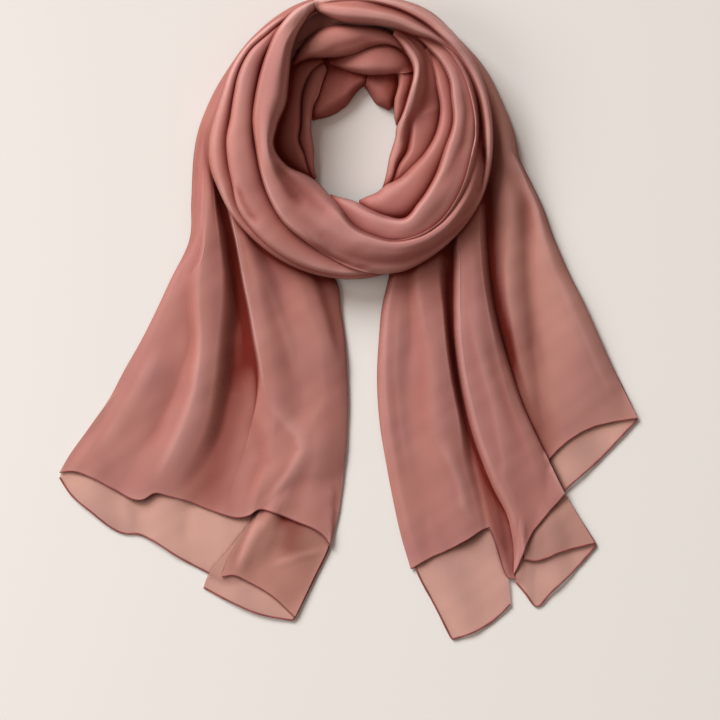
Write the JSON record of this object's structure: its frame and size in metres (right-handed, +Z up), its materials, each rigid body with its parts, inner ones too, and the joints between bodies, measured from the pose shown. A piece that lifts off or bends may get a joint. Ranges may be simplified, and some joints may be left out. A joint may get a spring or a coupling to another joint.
{
  "type": "chiffon scarf",
  "caption": "Sheer chiffon scarf wound into a ring of rounded folds, with its ends spread flat below as tails, lying on a surface.",
  "frame": {"origin": "on the surface that the scarf lies on, under the middle of its overall width and length", "axes": "+Z up, away from the surface; +Y from the tails' hems towards the ring; +X to the right as seen from above"},
  "size_m": [0.5821, 0.6454, 0.069],
  "materials": {
    "chiffon": "fine matt chiffon, dusty rose, several layers",
    "sheer_chiffon": "fine matt chiffon, dusty rose, one or two sheer layers"
  },
  "bodies": {
    "root": {"ring_core": "chiffon", "left_tail_back": "sheer_chiffon", "left_pleat_back": "sheer_chiffon", "left_pleat": "sheer_chiffon", "left_tail": "sheer_chiffon", "right_tail_outer_back": "sheer_chiffon", "right_tail_outer": "sheer_chiffon", "right_tail_inner_back": "sheer_chiffon", "right_tail_inner": "sheer_chiffon", "right_tail_middle_back": "sheer_chiffon", "right_tail_middle_flap": "sheer_chiffon", "right_tail_middle": "sheer_chiffon", "hole_back_left": "chiffon", "hole_back_right": "chiffon", "inner_left": "chiffon", "inner_right_low": "chiffon", "inner_top_low": "chiffon", "inner_top": "chiffon", "inner_right": "chiffon", "loop_thin": "chiffon", "loop_middle": "chiffon", "front_loop_outer": "chiffon", "front_turn": "chiffon"}
  },
  "joints": []
}
